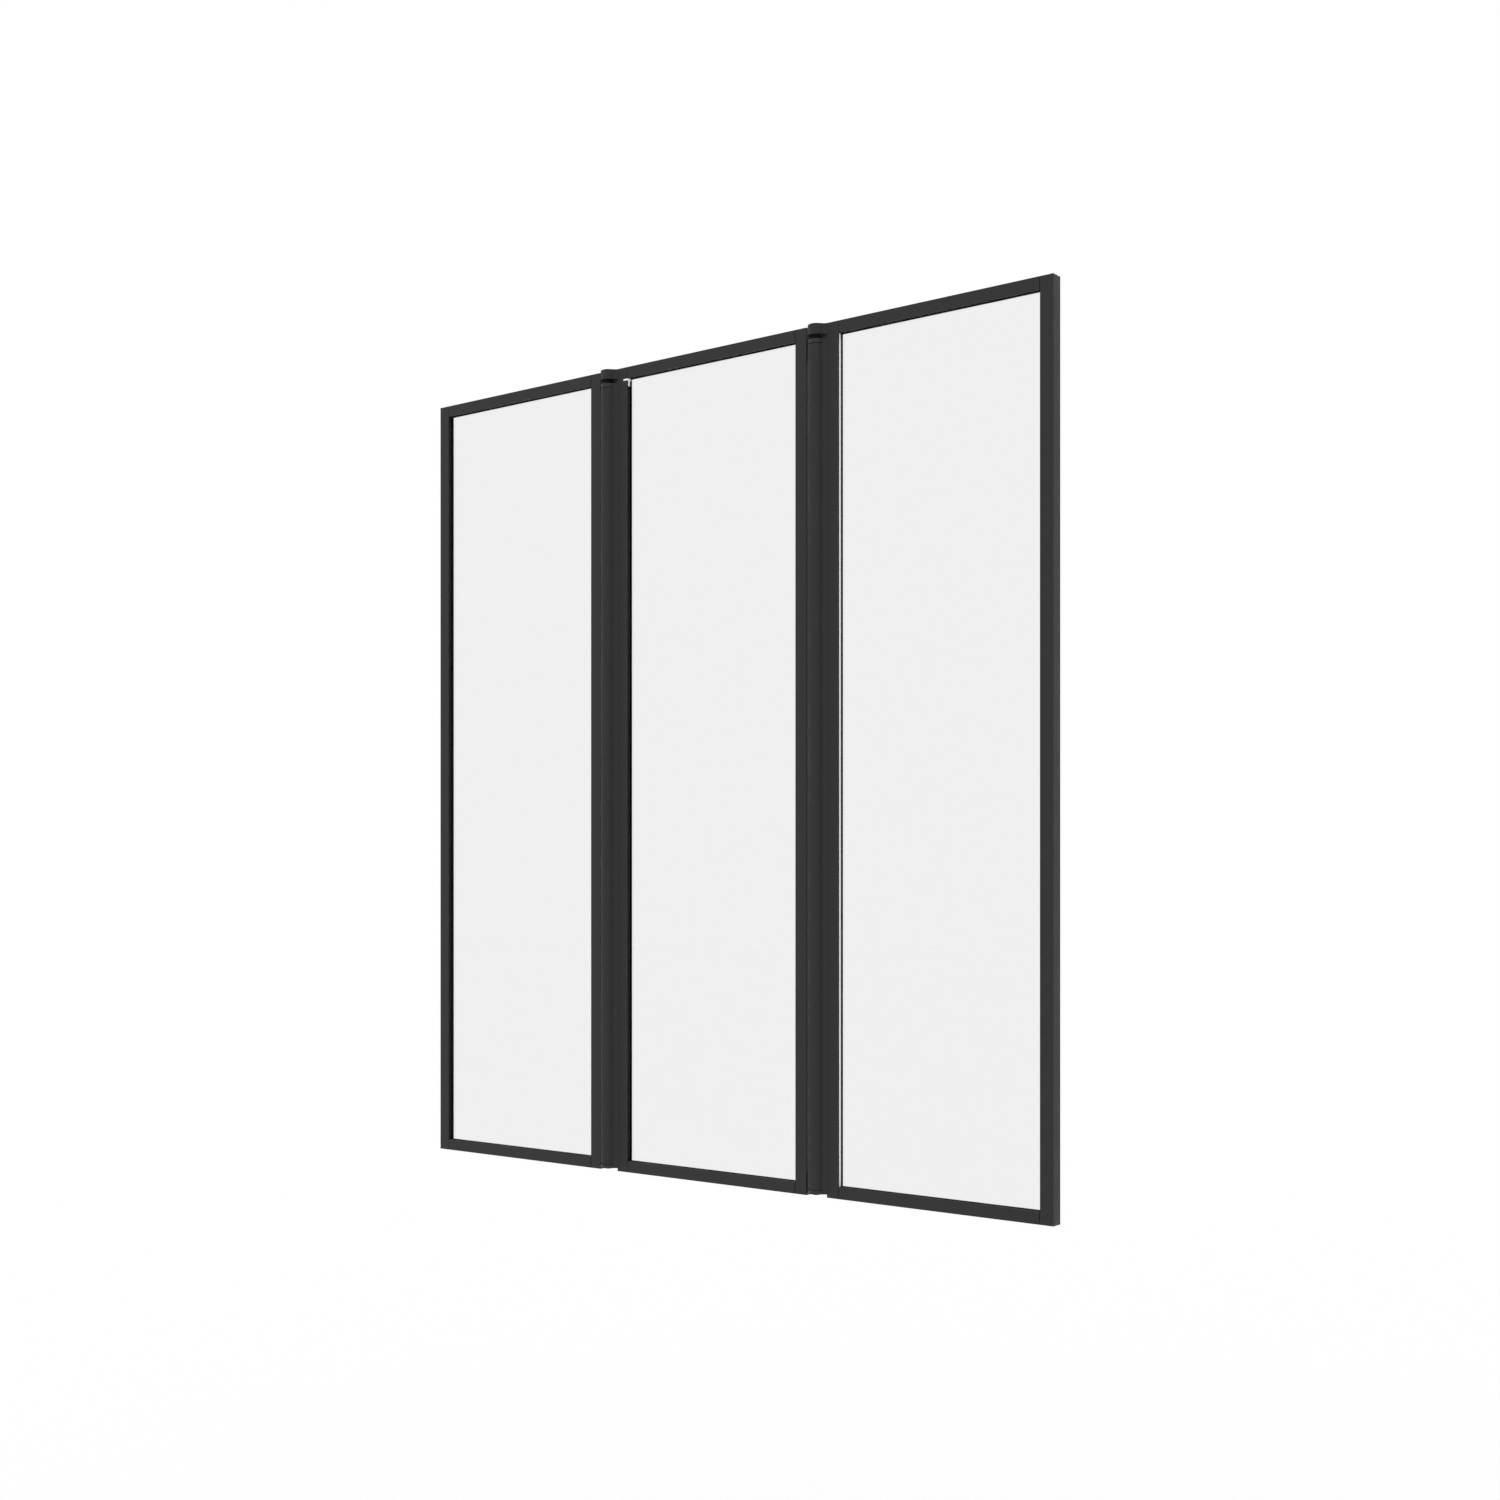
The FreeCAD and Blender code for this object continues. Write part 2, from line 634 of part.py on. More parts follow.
def wall_rail(label):
    """Channel that is screwed to the wall and slides into the open side of the first stile."""
    piece = Piece(label)
    low, wide = place("rail_channel_y"), place("rail_channel_width")
    leg, web, deep = size("wall_rail_leg"), size("wall_rail_web"), size("wall_rail_depth")
    channel = [
        ("0", low),
        (deep, low),
        (deep, f"{low} + {leg}"),
        (web, f"{low} + {leg}"),
        (web, f"{low} + {wide} - {leg}"),
        (deep, f"{low} + {wide} - {leg}"),
        (deep, f"{low} + {wide}"),
        ("0", f"{low} + {wide}"),
    ]
    piece.pad("XY", size("end_plate"), place("stile_length"), [outline(channel)])
    levels = [size("wall_hole_edge"), place("middle_z"), f"{TOP} - {size('wall_hole_edge')}"]
    holes = [circle(place("middle_y"), z, size("wall_hole_radius")) for z in levels]
    piece.cut("YZ", "0", web, holes, True)
    holes = [circle(size("lock_inset"), z, place("hole_radius")) for z in lock_levels()]
    piece.cut("XZ", f"-({low} + {wide})", leg, holes, True)
    return piece


def lock_levels():
    return [size("lock_edge"), place("middle_z"), f"{TOP} - {size('lock_edge')}"]


def add_lock_holes(piece):
    holes = [circle(size("lock_inset"), z, place("hole_radius")) for z in lock_levels()]
    piece.cut("XZ", f"-{BACK}", size("profile_wall"), holes, True)


def lock_screws(label):
    """Screws from behind that lock the first stile to the wall rail."""
    piece = Piece(label)
    reach = f"{size('profile_wall')} + {size('wall_rail_clearance')} + {size('wall_rail_leg')}"
    shanks = [circle(size("lock_inset"), z, size("screw_radius")) for z in lock_levels()]
    heads = [circle(size("lock_inset"), z, size("screw_head_radius")) for z in lock_levels()]
    piece.pad("XZ", f"-{BACK}", reach, shanks)
    piece.pad("XZ", f"-{BACK}", size("screw_head_height"), heads, True)
    return piece


def screw_covers(label, index):
    """Flush discs in the screw holes of the free edge."""
    piece = Piece(label)
    radius = f"{size('access_radius')} - {size('fit_clearance')}"
    discs = [circle(place("port_y"), z, radius) for z in (place("upper_port_z"), size("port_height"))]
    piece.pad("YZ", panel_right(index), size("profile_wall"), discs, True)
    return piece


def build_panel(index, name):
    left, right = panel_left(index), panel_right(index)
    first = stile(f"{name}_left_stile", from_left(left), left, index == 0, True)
    second = stile(f"{name}_right_stile", from_right(right), right, False, False)
    if index > 0:
        add_barrel(first, index - 1)
    else:
        add_lock_holes(first)
    if index < len(HINGES):
        add_foot_holes(second, index)
    rail(f"{name}_top_rail", index, from_right(TOP), place("rail_top_z"))
    rail(f"{name}_bottom_rail", index, from_left("0"), "0")
    glass(f"{name}_glass", index)
    lip_y = f"{FRONT} + {size('front_lip')}"
    if index == 1:
        cut_lip_notch(first, index)
        gasket(f"{name}_side_strip", index, lip_y, size("front_gasket"), ["cut_left"])
        gasket(f"{name}_strip_end", index, lip_y, size("front_gasket"), ["left_end"])
    else:
        gasket(f"{name}_side_strip", index, lip_y, size("front_gasket"), ["left"])
    gasket(f"{name}_front_gasket", index, lip_y, size("front_gasket"), ["right", "bottom", "top"])
    every_side = ["left", "right", "bottom", "top"]
    gasket(f"{name}_rear_gasket", index, place("rear_gasket_y"), size("rear_gasket"), every_side)
    setting_blocks(f"{name}_setting_blocks", index)
    corner_screws(f"{name}_corner_screws", index)
    stile_ends(f"{name}_stile_ends", index)


def build_hinge(index, name):
    levels = foot_screw_levels()
    upper_foot = f"{place('upper_arm_z')} + {size('arm_thickness')} - {size('foot_height')}"
    hinge_cap(f"{name}_cap", index)
    cap_screw(f"{name}_cap_screw", index)
    bush(f"{name}_upper_bush", index, place("tube_top_z"), place("tube_top_z"), False)
    bush(f"{name}_lower_bush", index, place("barrel_bottom_z"), place("tube_bottom_z"), True)
    upper = hinge_arm(
        f"{name}_upper_arm", index, place("upper_arm_z"), size("arm_thickness"), size("arm_radius"),
        upper_foot)
    drill_foot(upper, index, levels[:2])
    lower = hinge_arm(
        f"{name}_lower_arm", index, size("lower_arm_lift"), size("lower_arm_thickness"),
        size("lower_arm_radius"), size("lower_arm_lift"))
    drill_foot(lower, index, levels[2:])
    arm_screws(f"{name}_arm_screws", index)
    upper_start = f"{place('barrel_top_z')} - {size('pin_reach')}"
    upper_end = f"{place('cap_z')} + {size('pin_cap_reach')} - {size('pin_end_gap')}"
    pin(f"{name}_upper_pin", index, upper_start, f"{upper_end} - ({upper_start})")
    lower_end = f"{place('barrel_bottom_z')} + {size('pin_reach')}"
    pin(f"{name}_lower_pin", index, size("lower_arm_lift"), f"{lower_end} - {size('lower_arm_lift')}")
    washers(f"{name}_washers", index)


for panel_index, panel_name in enumerate(PANELS):
    build_panel(panel_index, panel_name)
for hinge_index, hinge_name in enumerate(HINGES):
    build_hinge(hinge_index, hinge_name)
wall_rail("wall_rail")
lock_screws("wall_rail_lock_screws")
screw_covers("end_panel_screw_covers", len(PANELS) - 1)

doc.recompute()
for item in doc.Objects:
    if "Invalid" in item.State or "Error" in item.State:
        raise RuntimeError(f"{item.Label} failed: {item.State}")
for body in nodes:
    if body.Shape.isNull() or not body.Shape.isValid():
        raise RuntimeError(f"{body.Label} has no valid shape")
os.makedirs("parts", exist_ok=True)
for body in nodes:
    body.Shape.exportStep(f"parts/{body.Label}.step")
print(f"{len(nodes)} sub-parts written")
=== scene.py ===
"""Folding shower screen: finishes, glazing strips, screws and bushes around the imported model.

Metres throughout, in the model's own frame: +X from the wall along the screen, the hinge barrels
face -Y and +Z is up.
"""

import json
import math

import bmesh
import bpy
from mathutils import Matrix, Vector


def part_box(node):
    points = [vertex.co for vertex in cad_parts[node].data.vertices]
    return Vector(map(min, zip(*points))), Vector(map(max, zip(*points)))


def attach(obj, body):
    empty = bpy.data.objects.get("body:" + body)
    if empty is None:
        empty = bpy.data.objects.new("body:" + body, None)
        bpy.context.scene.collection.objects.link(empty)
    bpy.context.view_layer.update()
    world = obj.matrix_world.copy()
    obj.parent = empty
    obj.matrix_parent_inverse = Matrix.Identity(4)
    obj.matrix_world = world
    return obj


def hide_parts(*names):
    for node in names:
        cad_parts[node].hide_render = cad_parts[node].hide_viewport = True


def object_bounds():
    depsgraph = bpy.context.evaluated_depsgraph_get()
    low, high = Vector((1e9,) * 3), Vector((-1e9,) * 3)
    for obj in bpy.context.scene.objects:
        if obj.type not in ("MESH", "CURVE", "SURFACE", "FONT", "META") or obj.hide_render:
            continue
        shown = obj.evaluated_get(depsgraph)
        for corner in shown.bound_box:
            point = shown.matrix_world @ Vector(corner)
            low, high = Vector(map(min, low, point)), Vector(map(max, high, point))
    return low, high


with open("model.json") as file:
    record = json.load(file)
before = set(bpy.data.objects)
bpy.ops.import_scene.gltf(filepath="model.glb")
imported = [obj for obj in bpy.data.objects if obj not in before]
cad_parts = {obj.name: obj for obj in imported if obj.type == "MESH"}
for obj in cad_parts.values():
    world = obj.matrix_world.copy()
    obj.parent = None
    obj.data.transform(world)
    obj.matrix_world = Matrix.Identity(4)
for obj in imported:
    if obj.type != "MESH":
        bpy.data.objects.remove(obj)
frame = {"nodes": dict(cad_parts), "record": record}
cad_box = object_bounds()

MM = 0.001
PANELS = ("wall_panel", "middle_panel", "end_panel")
HINGES = ("first_hinge", "second_hinge")

# Real grain, 0.06 to 0.6 mm wide, is too fine to show, so it is drawn this much coarser
GRAIN_COARSER = 4
# How much of the colour and the roughness follows the grain, which paints shade into its pits; the
# rest drifts in patches
GRAIN_AND_PIT_SHADE_SHARE = 0.6
# Noise stays near its middle: this part of its range takes up the whole step between two colours
NOISE_LOW, NOISE_HIGH = 0.38, 0.62
GRAIN_NOISE = {"Detail": 2.0, "Roughness": 0.5}
PATCH_NOISE = {"Detail": 3.0, "Roughness": 0.55}
# The Mix node's colour sockets share their names with its plain ones, so they go by number
MIX_FIRST, MIX_SECOND, MIX_COLOUR = 6, 7, 2
# Waves that the furnace rollers leave in toughened glass
WAVE_MM = 180
WAVE_DEPTH_MM = 0.02


def linear(hex_colour):
    """Scene colour, with alpha, of an sRGB hex value."""
    parts = [int(hex_colour[i:i + 2], 16) / 255 for i in (1, 3, 5)]
    return (*(c / 12.92 if c <= 0.04045 else ((c + 0.055) / 1.055) ** 2.4 for c in parts), 1.0)


def per_metre(millimetres):
    """Texture scale that gives a pattern of this size in object coordinates."""
    return 1 / (millimetres * MM)


def add(tree, kind, inputs, **settings):
    """A node with its settings; each input is a value, or the socket that feeds it."""
    made = tree.nodes.new(kind)
    for name, value in settings.items():
        setattr(made, name, value)
    for name, value in inputs.items():
        if isinstance(value, bpy.types.NodeSocket):
            tree.links.new(value, made.inputs[name])
        else:
            made.inputs[name].default_value = value
    return made


def finish_of(name, **shader):
    """A new material, its node tree, its shader with plain values set, and object coordinates."""
    made = bpy.data.materials.new(name)
    made.use_nodes = True
    tree = made.node_tree
    surface = tree.nodes["Principled BSDF"]
    for socket, value in shader.items():
        surface.inputs[socket.replace("_", " ")].default_value = value
    place = add(tree, "ShaderNodeTexCoord", {}).outputs["Object"]
    return made, tree, surface, place


def grain(tree, surface, place, size_mm, depth_mm, colours, roughness, patch_mm):
    """Surface grain as bump; colour and roughness follow it, with painted shade in its pits, and
    drift in soft patches.
    """
    fine = add(tree, "ShaderNodeTexNoise", {
        "Vector": place, "Scale": per_metre(size_mm * GRAIN_COARSER), **GRAIN_NOISE})
    bump = add(tree, "ShaderNodeBump", {
        "Height": fine.outputs["Fac"], "Strength": 1.0, "Distance": depth_mm * MM})
    tree.links.new(bump.outputs["Normal"], surface.inputs["Normal"])
    patch = add(tree, "ShaderNodeTexNoise", {
        "Vector": place, "Scale": per_metre(patch_mm), **PATCH_NOISE})
    patches_and_pit_shade = add(tree, "ShaderNodeMix", {
        "Factor": GRAIN_AND_PIT_SHADE_SHARE, "A": patch.outputs["Fac"], "B": fine.outputs["Fac"]})
    spread = add(tree, "ShaderNodeMapRange", {
        "Value": patches_and_pit_shade.outputs["Result"], "From Min": NOISE_LOW, "From Max": NOISE_HIGH})
    dark, light = colours
    # Painted shade: the colour is darker where the grain's bump is low, in its pits, and it also
    # drifts in patches
    tone_and_pit_shade = add(tree, "ShaderNodeMix", {
        "Factor": spread.outputs["Result"], MIX_FIRST: linear(dark), MIX_SECOND: linear(light),
    }, data_type="RGBA")
    tree.links.new(tone_and_pit_shade.outputs[MIX_COLOUR], surface.inputs["Base Color"])
    smooth, rough = roughness
    drift = add(tree, "ShaderNodeMapRange", {
        "Value": spread.outputs["Result"], "To Min": smooth, "To Max": rough})
    tree.links.new(drift.outputs["Result"], surface.inputs["Roughness"])


def powder_coated_aluminium():
    """Extruded aluminium, baked matt black powder coat: even, with a soft sheen and a faint peel."""
    made, tree, surface, place = finish_of("powder_coated_aluminium", IOR=1.47)
    grain(tree, surface, place, size_mm=0.6, depth_mm=0.05, colours=("#07070a", "#1d1d1f"),
          roughness=(0.5, 0.7), patch_mm=60)
    return made


def phosphated_steel():
    """Steel plate with a black phosphate coat: dry and dull, so it stays dark in the hinge gaps."""
    made, tree, surface, place = finish_of("phosphated_steel", IOR=1.5, Specular_IOR_Level=0.2)
    grain(tree, surface, place, size_mm=0.2, depth_mm=0.02, colours=("#050505", "#0c0c0d"),
          roughness=(0.75, 0.85), patch_mm=9)
    return made


def clear_float_glass():
    """Toughened float glass: clear, with the long shallow waves that the furnace rollers leave."""
    made, tree, surface, place = finish_of(
        "clear_float_glass", IOR=1.5, Transmission_Weight=1.0, Base_Color=linear("#efefef"),
        Roughness=0.0)
    wave = add(tree, "ShaderNodeTexNoise", {
        "Vector": place, "Scale": per_metre(WAVE_MM), "Detail": 0.0})
    bump = add(tree, "ShaderNodeBump", {
        "Height": wave.outputs["Fac"], "Strength": 1.0, "Distance": WAVE_DEPTH_MM * MM})
    tree.links.new(bump.outputs["Normal"], surface.inputs["Normal"])
    return made


def extruded_rubber():
    """Extruded EPDM rubber: dull black, with a dry bloom in places."""
    made, tree, surface, place = finish_of("extruded_rubber", IOR=1.5, Specular_IOR_Level=0.3)
    grain(tree, surface, place, size_mm=0.15, depth_mm=0.03, colours=("#060606", "#0e0e0e"),
          roughness=(0.7, 0.85), patch_mm=12)
    return made


def white_soft_vinyl():
    """Extruded soft PVC, filled white: bright, with the low even gloss of a drawn skin."""
    made, tree, surface, place = finish_of("white_soft_vinyl", IOR=1.53)
    grain(tree, surface, place, size_mm=0.4, depth_mm=0.02, colours=("#f9f9f9", "#ffffff"),
          roughness=(0.4, 0.5), patch_mm=25)
    return made


def moulded_abs():
    """Injection-moulded black ABS with a fine spark-eroded grain: matt, next to the powder coat."""
    made, tree, surface, place = finish_of("moulded_abs", IOR=1.54)
    grain(tree, surface, place, size_mm=0.12, depth_mm=0.02, colours=("#0c0c0d", "#151516"),
          roughness=(0.48, 0.6), patch_mm=10)
    return made


def moulded_acetal():
    """Moulded black acetal: a waxy satin skin, a little smoother than the powder coat."""
    made, tree, surface, place = finish_of("moulded_acetal", IOR=1.48)
    grain(tree, surface, place, size_mm=0.2, depth_mm=0.008, colours=("#0b0b0c", "#131314"),
          roughness=(0.37, 0.47), patch_mm=8)
    return made


def filled_acetal():
    """Acetal with a dry lubricant in it, as in thrust washers: dull, with no skin gloss."""
    made, tree, surface, place = finish_of("filled_acetal", IOR=1.48, Specular_IOR_Level=0.2)
    grain(tree, surface, place, size_mm=0.1, depth_mm=0.01, colours=("#060606", "#0c0c0c"),
          roughness=(0.65, 0.8), patch_mm=3)
    return made


def stainless_steel():
    """Turned and pickled stainless steel: grey, soft highlights, fine tool marks."""
    made, tree, surface, place = finish_of("stainless_steel", Metallic=1.0)
    grain(tree, surface, place, size_mm=0.06, depth_mm=0.006, colours=("#a3a6a8", "#bcbfc1"),
          roughness=(0.24, 0.36), patch_mm=4)
    return made


FINISHES = {
    "black_aluminium": powder_coated_aluminium(),
    "black_steel": phosphated_steel(),
    "clear_glass": clear_float_glass(),
    "black_rubber": extruded_rubber(),
    "white_seal": white_soft_vinyl(),
    "black_plastic": moulded_abs(),
    "bush_plastic": moulded_acetal(),
    "washer_plastic": filled_acetal(),
    "stainless_steel": stainless_steel(),
}

slot_of = {part["node"]: part["material_slot"] for part in frame["record"]["subparts"]}
for node, piece in frame["nodes"].items():
    piece.data.materials.clear()
    piece.data.materials.append(FINISHES[slot_of[node]])

body_of = {
    node: body for body, nodes in frame["record"]["behaviour"]["bodies"].items() for node in nodes}

# Edges that bend more than this stay sharp
CREASE_DEG = 35


def stand_for(piece, node):
    """The piece takes the node's place: same body, same finish, and the node is hidden."""
    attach(piece, body_of[node])
    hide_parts(node)
    piece.data.materials.append(FINISHES[slot_of[node]])


def new_piece(name, mesh):
    """Object around a mesh, smooth across edges that bend less than the crease angle."""
    mesh.shade_smooth()
    mesh.set_sharp_from_angle(angle=math.radians(CREASE_DEG))
    piece = bpy.data.objects.new(name, mesh)
    bpy.context.collection.objects.link(piece)
    return piece


def finished_mesh(name, mesh_bm):
    """Mesh of the faces built so far, all turned outwards."""
    bmesh.ops.recalc_face_normals(mesh_bm, faces=mesh_bm.faces[:])
    mesh = bpy.data.meshes.new(name)
    mesh_bm.to_mesh(mesh)
    mesh_bm.free()
    return mesh


def skin(mesh_bm, rings, closed=False):
    """Faces between rings of points; a closed run joins up, and an open one gets its two ends."""
    following = rings[1:] + rings[:1] if closed else rings[1:]
    for near, far in zip(rings, following):
        for i in range(len(near)):
            j = (i + 1) % len(near)
            mesh_bm.faces.new((near[i], near[j], far[j], far[i]))
    if not closed:
        mesh_bm.faces.new(rings[0])
        mesh_bm.faces.new(rings[-1])


# Glazing strip sections: share of the thickness from the lip to the glass, and millimetres above the
# edge of the lip. First the rounded nose, which is fuller towards the glass.
STRIP_NOSE = [
    (0.00, -1.60), (0.06, -0.95), (0.14, -0.50), (0.26, -0.20), (0.42, -0.06), (0.60, -0.03),
    (0.80, -0.10), (1.00, -0.30),
]
# The two ribs on the glass, the foot, and the two barbs against the lip
STRIP_FOOT = [
    (1.00, -3.00), (0.93, -3.30), (0.93, -4.00), (1.00, -4.30), (1.00, -5.40), (0.80, -6.60),
    (0.62, -7.00), (0.30, -7.00), (0.18, -6.40), (0.18, -5.20), (0.00, -4.60), (0.00, -3.60),
    (0.10, -3.20), (0.10, -2.20), (0.00, -1.80),
]
STRIP_HEIGHT = 7.0 * MM
# The white end piece is a plain block below its nose, as deep as the pocket
END_FOOT = [(1.00, -9.00), (0.94, -9.30), (0.06, -9.30), (0.00, -9.00)]
# Boss on the end piece, which fills the notch in the lip, and the tab beside it in the pane's corner
BOSS_ACROSS, BOSS_DEEP, BOSS_TALL = 9.0 * MM, 2.1 * MM, 3.3 * MM
TAB_ACROSS, TAB_ROOT, TAB_TALL = 2.6 * MM, 1.0 * MM, 4.3 * MM
END_CHAMFER = 0.3 * MM
END_CLEAR = 0.1 * MM

# Setting block section: share of the glass thickness, and share of the block's height; ribs below
BLOCK_SECTION = [
    (0.00, 0.15), (0.03, 0.00), (0.17, 0.00), (0.20, 0.35), (0.30, 0.35), (0.33, 0.00), (0.47, 0.00),
    (0.50, 0.35), (0.60, 0.35), (0.63, 0.00), (0.77, 0.00), (0.80, 0.35), (0.90, 0.35), (0.93, 0.00),
    (0.97, 0.00), (1.00, 0.15), (1.00, 0.85), (0.97, 1.00), (0.03, 1.00), (0.00, 0.85),
]
BLOCK_LENGTH = 60 * MM

strip_section = [(share, height * MM) for share, height in STRIP_NOSE + STRIP_FOOT]
end_section = [(share, height * MM) for share, height in STRIP_NOSE + END_FOOT]


def swept_strip(mesh_bm, section, stations, lip_y, glass_y, closed=False):
    """Sweep a section through stations (x, z, and how x and z grow with its height)."""
    rings = []
    for x, z, x_growth, z_growth in stations:
        rings.append([mesh_bm.verts.new((
            x + x_growth * height, lip_y + share * (glass_y - lip_y), z + z_growth * height))
            for share, height in section])
    skin(mesh_bm, rings, closed)


def chamfered_block(mesh_bm, x_ends, back_y, front_y, z_ends):
    """Block with a chamfered front, between two ends in x and two in z."""
    rings = []
    for inset, y in ((0.0, back_y), (0.0, front_y + END_CHAMFER), (END_CHAMFER, front_y)):
        far, near = x_ends[0] + inset, x_ends[1] - inset
        low_z, high_z = z_ends[0] + inset, z_ends[1] - inset
        corners = ((near, low_z), (far, low_z), (far, high_z), (near, high_z))
        rings.append([mesh_bm.verts.new((x, y, z)) for x, z in corners])
    skin(mesh_bm, rings)


for panel in PANELS:
    low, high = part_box(f"{panel}_rear_gasket")
    left, right = low.x + STRIP_HEIGHT, high.x - STRIP_HEIGHT
    bottom, top = low.z + STRIP_HEIGHT, high.z - STRIP_HEIGHT
    bottom_left, top_left = (left, bottom, 1, 1), (left, top, 1, -1)
    bottom_right, top_right = (right, bottom, -1, 1), (right, top, -1, -1)
    around = [bottom_left, bottom_right, top_right, top_left]

    strip_bm = bmesh.new()
    swept_strip(strip_bm, strip_section, around, high.y, low.y, closed=True)
    rear_strip = new_piece(f"{panel}_rear_strip", finished_mesh("rear_strip", strip_bm))
    stand_for(rear_strip, f"{panel}_rear_gasket")

    low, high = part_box(f"{panel}_front_gasket")
    strip_bm = bmesh.new()
    swept_strip(strip_bm, strip_section, around, low.y, high.y)
    front_strip = new_piece(f"{panel}_front_strip", finished_mesh("front_strip", strip_bm))
    stand_for(front_strip, f"{panel}_front_gasket")

    runs = {f"{panel}_side_strip": [bottom_left, top_left]}
    if panel == "middle_panel":
        cut = (left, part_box("middle_panel_side_strip")[1].z, 1, 0)
        runs = {
            "middle_panel_side_strip": [bottom_left, cut],
            "middle_panel_strip_end": [cut, top_left],
        }
    for node, stations in runs.items():
        strip_bm = bmesh.new()
        if node == "middle_panel_strip_end":
            swept_strip(strip_bm, end_section, stations, low.y, high.y)
            edge, under = left - END_CLEAR, top - END_CLEAR
            boss_x, boss_z = (edge - BOSS_ACROSS, edge), (under - BOSS_TALL, under)
            chamfered_block(strip_bm, boss_x, low.y, low.y - BOSS_DEEP, boss_z)
            tab_x, tab_z = (edge - TAB_ROOT, edge + TAB_ACROSS), (under - TAB_TALL, under)
            chamfered_block(strip_bm, tab_x, high.y - END_CLEAR, low.y + END_CLEAR, tab_z)
        else:
            swept_strip(strip_bm, strip_section, stations, low.y, high.y)
        stand_for(new_piece(f"{node}_profile", finished_mesh(node, strip_bm)), node)

    low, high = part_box(f"{panel}_setting_blocks")
    block_section = [(share, height * (high.z - low.z)) for share, height in BLOCK_SECTION]
    block_bm = bmesh.new()
    for start in (low.x, high.x - BLOCK_LENGTH):
        ends = [(x, low.z, 0, 1) for x in (start, start + BLOCK_LENGTH)]
        swept_strip(block_bm, block_section, ends, low.y, high.y)
    blocks = new_piece(f"{panel}_glass_blocks", finished_mesh("blocks", block_bm))
    stand_for(blocks, f"{panel}_setting_blocks")

# Screws: pan heads with a cross recess and a thread, all of one pattern
SCREW_SIDES = 32
HEAD_RADIUS = 3.4 * MM
HEAD_HEIGHT = 2.4 * MM
# Head outline: share of the head's radius, and share of its height below the top
HEAD_OUTLINE = [
    (0.56, 0.0), (0.74, 0.04), (0.87, 0.13), (0.955, 0.27), (1.0, 0.46), (1.0, 0.93), (0.97, 1.0)]
SHANK_RADIUS = 2.0 * MM
ROOT_RADIUS = 1.6 * MM
THREAD_PITCH = 1.4 * MM
# Where the root of the thread begins and ends, as shares of a turn
ROOT_FROM, ROOT_TO = 0.3, 0.6
# The last turns are plain and taper to this share of the shank
TIP_TURNS = 2
TIP_SHARE = 0.3
RECESS_ARM = 1.85 * MM
RECESS_WIDTH = 0.9 * MM
RECESS_DEPTH = 1.5 * MM
RECESS_TAPER = 0.55
CORNER_SCREW_LENGTH = 33.7 * MM
FOOT_SCREW_PITCH = 16 * MM


def screw_profile(length):
    """Radius and distance from the top of the head, along a screw of this length."""
    profile = [(share * HEAD_RADIUS, drop * HEAD_HEIGHT) for share, drop in HEAD_OUTLINE]
    profile.append((SHANK_RADIUS, HEAD_HEIGHT))
    down = HEAD_HEIGHT + THREAD_PITCH
    while down < length - TIP_TURNS * THREAD_PITCH:
        profile += [
            (SHANK_RADIUS, down), (ROOT_RADIUS, down + ROOT_FROM * THREAD_PITCH),
            (ROOT_RADIUS, down + ROOT_TO * THREAD_PITCH)]
        down += THREAD_PITCH
    return profile + [(SHANK_RADIUS, down), (TIP_SHARE * SHANK_RADIUS, length)]


def lathe(profile, sides, hollow=False):
    """A solid of revolution along -Z, its top at the origin; a hollow one closes along its bore."""
    made = bmesh.new()
    turns = [2 * math.pi * i / sides for i in range(sides)]
    rings = []
    for radius, down in profile:
        rings.append([
            made.verts.new((radius * math.cos(t), radius * math.sin(t), -down)) for t in turns])
    skin(made, rings, closed=hollow)
    return finished_mesh("turned", made)


def cross_punch():
    """The tapered cross that presses the drive recess."""
    made = bmesh.new()
    arm, half = RECESS_ARM, RECESS_WIDTH / 2
    outline = [
        (arm, -half), (arm, half), (half, half), (half, arm), (-half, arm), (-half, half),
        (-arm, half), (-arm, -half), (-half, -half), (-half, -arm), (half, -arm), (half, -half)]
    wide = [made.verts.new((x, y, RECESS_DEPTH)) for x, y in outline]
    narrow = [
        made.verts.new((x * RECESS_TAPER, y * RECESS_TAPER, -RECESS_DEPTH)) for x, y in outline]
    skin(made, [wide, narrow])
    return finished_mesh("cross", made)


def screw_mesh(length):
    """One screw with its recess cut, as a plain mesh."""
    body = bpy.data.objects.new("screw_blank", lathe(screw_profile(length), SCREW_SIDES))
    punch = bpy.data.objects.new("screw_punch", cross_punch())
    for helper in (body, punch):
        bpy.context.collection.objects.link(helper)
    cut = body.modifiers.new("recess", "BOOLEAN")
    cut.object, cut.operation, cut.solver = punch, "DIFFERENCE", "EXACT"
    made = bpy.data.meshes.new_from_object(
        body.evaluated_get(bpy.context.evaluated_depsgraph_get()))
    for helper in (body, punch):
        bpy.data.objects.remove(helper)
    return made


def fit_screws(node, length, heads):
    """Screws in a node's place; each head is its top centre and the way that the screw points."""
    pattern = screw_mesh(length)
    together = bmesh.new()
    for top, points in heads:
        turn = (-Vector(points)).to_track_quat("Z", "Y").to_matrix().to_4x4()
        single = pattern.copy()
        single.transform(Matrix.Translation(top) @ turn)
        together.from_mesh(single)
    stand_for(new_piece(f"{node}_fitted", finished_mesh(node, together)), node)


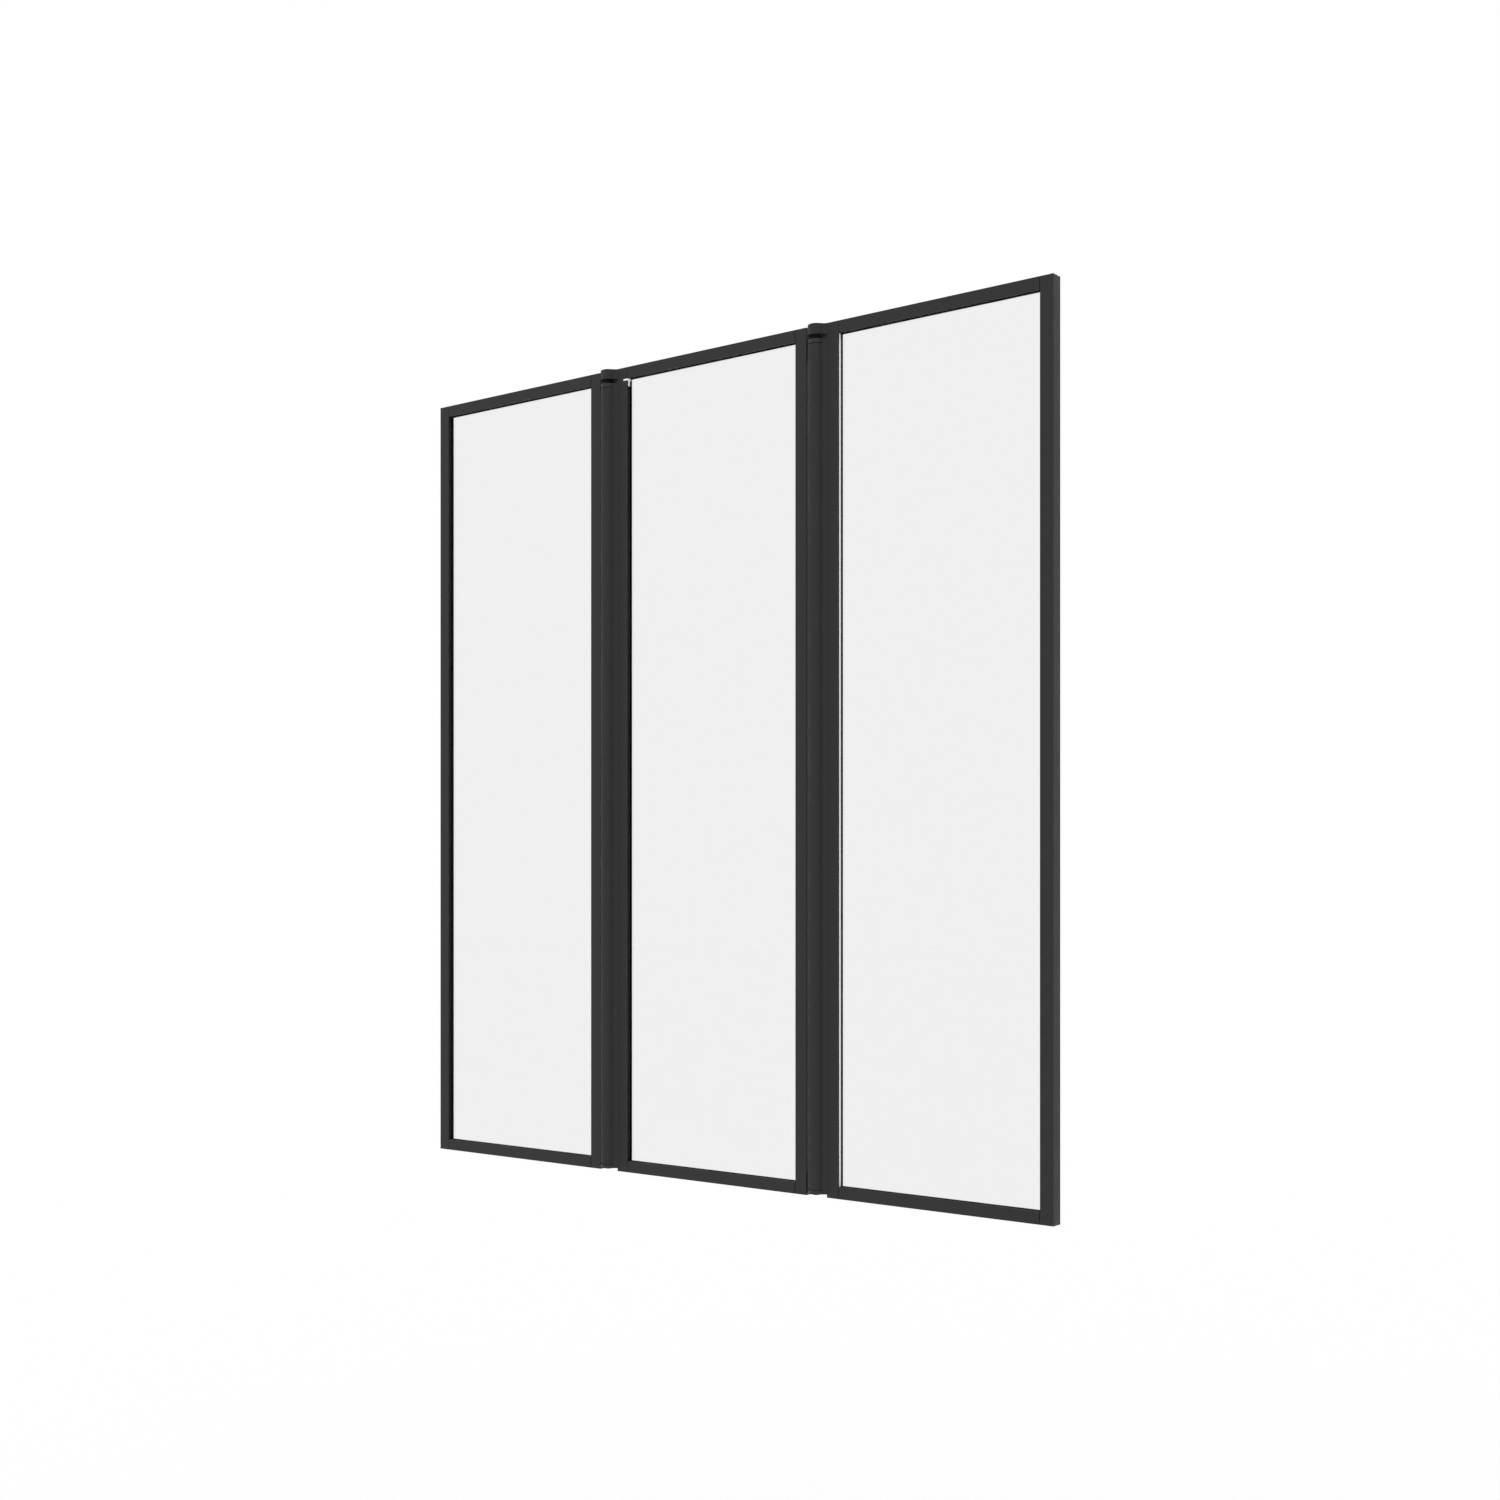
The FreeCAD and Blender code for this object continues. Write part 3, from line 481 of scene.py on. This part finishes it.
for panel in PANELS:
    low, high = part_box(f"{panel}_corner_screws")
    y = (low.y + high.y) / 2
    levels = (low.z + HEAD_RADIUS, high.z - HEAD_RADIUS)
    heads = [((low.x, y, z), (1, 0, 0)) for z in levels]
    heads += [((high.x, y, z), (-1, 0, 0)) for z in levels]
    fit_screws(f"{panel}_corner_screws", CORNER_SCREW_LENGTH, heads)
for hinge in HINGES:
    low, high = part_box(f"{hinge}_arm_screws")
    y = (low.y + high.y) / 2
    first, last = low.z + HEAD_RADIUS, high.z - HEAD_RADIUS
    levels = (first, first + FOOT_SCREW_PITCH, last - FOOT_SCREW_PITCH, last)
    heads = [((high.x, y, z), (-1, 0, 0)) for z in levels]
    fit_screws(f"{hinge}_arm_screws", high.x - low.x, heads)
    low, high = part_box(f"{hinge}_cap_screw")
    middle = (low + high) / 2
    fit_screws(f"{hinge}_cap_screw", high.x - low.x, [((low.x, middle.y, middle.z), (1, 0, 0))])
low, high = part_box("wall_rail_lock_screws")
middle = (low + high) / 2
levels = (low.z + HEAD_RADIUS, middle.z, high.z - HEAD_RADIUS)
heads = [((middle.x, high.y, z), (0, -1, 0)) for z in levels]
fit_screws("wall_rail_lock_screws", high.y - low.y, heads)

# Bearing bushes, turned: a rim with a rounded edge, a groove against the barrel's tube, and a spigot
BUSH_SIDES = 96
BUSH_BORE = 4.05 * MM
BUSH_FLANGE = 8.0 * MM
BUSH_SPIGOT_RADIUS = 11.45 * MM
BUSH_EDGE = 0.6 * MM
BUSH_EDGE_STEPS = 4
BUSH_LEAD_IN = 1.0 * MM
# The groove is a little deeper and taller than in the solid, so that its ring shows as in the photo
GROOVE_TALL = 1.4 * MM
GROOVE_DEEP = 2.0 * MM


def bush_profile(rim, length):
    """Radius and distance from the outer face, all round the section of a bush."""
    edge = [math.radians(90 * step / BUSH_EDGE_STEPS) for step in range(BUSH_EDGE_STEPS + 1)]
    rounded = [(rim - BUSH_EDGE * (1 - math.sin(t)), BUSH_EDGE * (1 - math.cos(t))) for t in edge]
    groove_top = BUSH_FLANGE - GROOVE_TALL
    neck = rim - GROOVE_DEEP
    return [
        (BUSH_BORE, 0.0), *rounded, (rim, groove_top), (neck, groove_top), (neck, BUSH_FLANGE),
        (BUSH_SPIGOT_RADIUS, BUSH_FLANGE), (BUSH_SPIGOT_RADIUS, length - BUSH_LEAD_IN),
        (BUSH_SPIGOT_RADIUS - BUSH_LEAD_IN, length), (BUSH_BORE, length),
    ]


for hinge in HINGES:
    for end in ("upper", "lower"):
        low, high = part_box(f"{hinge}_{end}_bush")
        middle = (low + high) / 2
        profile = bush_profile((high.x - low.x) / 2, high.z - low.z)
        mesh = lathe(profile, BUSH_SIDES, hollow=True)
        if end == "upper":
            mesh.transform(Matrix.Translation((middle.x, middle.y, high.z)))
        else:
            turned_over = Matrix.Rotation(math.pi, 4, "X")
            mesh.transform(Matrix.Translation((middle.x, middle.y, low.z)) @ turned_over)
        stand_for(new_piece(f"{hinge}_{end}_bush_turned", mesh), f"{hinge}_{end}_bush")

# Camera: level, to the right of the screen, with the lens shifted so that upright edges stay parallel
CAMERA_PLACE = Vector((2.620, -2.461, -0.187))
CAMERA_LOOKS = Vector((-0.609, 0.793, 0.0))
CAMERA_SENSOR = 36.0
CAMERA_LENS = 44.908
CAMERA_SHIFT = 0.0848
camera = bpy.data.objects.new("camera", bpy.data.cameras.new("camera"))
camera.location = CAMERA_PLACE
camera.rotation_euler = CAMERA_LOOKS.to_track_quat("-Z", "Y").to_euler()
camera.data.sensor_width = CAMERA_SENSOR
camera.data.lens = CAMERA_LENS
camera.data.shift_y = CAMERA_SHIFT
bpy.context.collection.objects.link(camera)
bpy.context.scene.camera = camera

# Studio: even white light from all sides, and a white floor so far down that the shadow stays faint
FLOOR_DROP = 1.4
FLOOR_HALF = 40.0
WHITE = linear("#ffffff")
world = bpy.data.worlds.new("studio")
bpy.context.scene.world = world
world.use_nodes = True
sky = world.node_tree.nodes["Background"]
sky.inputs["Color"].default_value = WHITE
sky.inputs["Strength"].default_value = 1.0

floor_z = cad_box[0].z - FLOOR_DROP
corners = [
    (x * FLOOR_HALF, y * FLOOR_HALF, floor_z) for x, y in ((-1, -1), (1, -1), (1, 1), (-1, 1))]
floor_mesh = bpy.data.meshes.new("floor")
floor_mesh.from_pydata(corners, [], [(0, 1, 2, 3)])
# Matt white paper: no gloss, so that it shows as plain white
paper = finish_of("white_paper", Base_Color=WHITE, Roughness=1.0, Specular_IOR_Level=0.0)[0]
floor_mesh.materials.append(paper)
floor = bpy.data.objects.new("floor", floor_mesh)
bpy.context.collection.objects.link(floor)

bpy.context.scene.view_settings.view_transform = "Standard"
